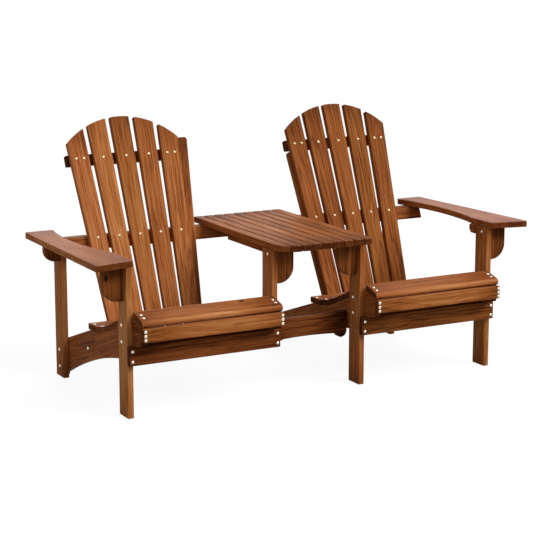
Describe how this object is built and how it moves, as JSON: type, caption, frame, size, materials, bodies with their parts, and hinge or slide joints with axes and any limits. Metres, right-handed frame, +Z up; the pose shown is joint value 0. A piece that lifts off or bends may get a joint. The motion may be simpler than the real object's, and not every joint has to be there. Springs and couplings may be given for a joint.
{
  "type": "companion seat bench",
  "caption": "Timber companion seat: a pair of reclined chairs with fanned slat backs, joined by a slatted table, wide arms and a low stretcher.",
  "frame": {"origin": "middle of the footprint box, on the ground", "axes": "+X along the bench to the viewer's right when facing its front, +Y to the rear, +Z up"},
  "size_m": [1.728, 0.805, 0.931],
  "materials": {
    "stained_timber": "brown stained softwood, satin oil finish",
    "zinc_screws": "bright zinc plate"
  },
  "bodies": {
    "root": {"back_beam": "stained_timber", "back_screws": "zinc_screws", "frame_screws": "zinc_screws", "left_apron": "stained_timber", "left_arm": "stained_timber", "left_back_bottom_rail": "stained_timber", "left_back_slat_1": "stained_timber", "left_back_slat_2": "stained_timber", "left_back_slat_3": "stained_timber", "left_back_slat_4": "stained_timber", "left_back_slat_5": "stained_timber", "left_back_stile": "stained_timber", "left_back_top_rail": "stained_timber", "left_front_slat": "stained_timber", "left_inner_bracket": "stained_timber", "left_inner_front_leg": "stained_timber", "left_inner_stringer": "stained_timber", "left_nose_slat": "stained_timber", "left_outer_arm_cleat": "stained_timber", "left_outer_bracket": "stained_timber", "left_outer_front_leg": "stained_timber", "left_outer_rear_bracket": "stained_timber", "left_outer_rear_post": "stained_timber", "left_outer_stringer": "stained_timber", "left_seat_slats": "stained_timber", "left_stretcher_block": "stained_timber", "right_apron": "stained_timber", "right_arm": "stained_timber", "right_back_bottom_rail": "stained_timber", "right_back_slat_1": "stained_timber", "right_back_slat_2": "stained_timber", "right_back_slat_3": "stained_timber", "right_back_slat_4": "stained_timber", "right_back_slat_5": "stained_timber", "right_back_stile": "stained_timber", "right_back_top_rail": "stained_timber", "right_front_slat": "stained_timber", "right_inner_bracket": "stained_timber", "right_inner_front_leg": "stained_timber", "right_inner_stringer": "stained_timber", "right_nose_slat": "stained_timber", "right_outer_arm_cleat": "stained_timber", "right_outer_bracket": "stained_timber", "right_outer_front_leg": "stained_timber", "right_outer_rear_post": "stained_timber", "right_outer_stringer": "stained_timber", "right_seat_slats": "stained_timber", "right_stretcher_block": "stained_timber", "seat_screws": "zinc_screws", "stretcher": "stained_timber", "table_and_arm_screws": "zinc_screws", "table_front_cross_bearer": "stained_timber", "table_left_bearer": "stained_timber", "table_rear_cross_bearer": "stained_timber", "table_right_bearer": "stained_timber", "table_slats": "stained_timber"}
  },
  "joints": []
}
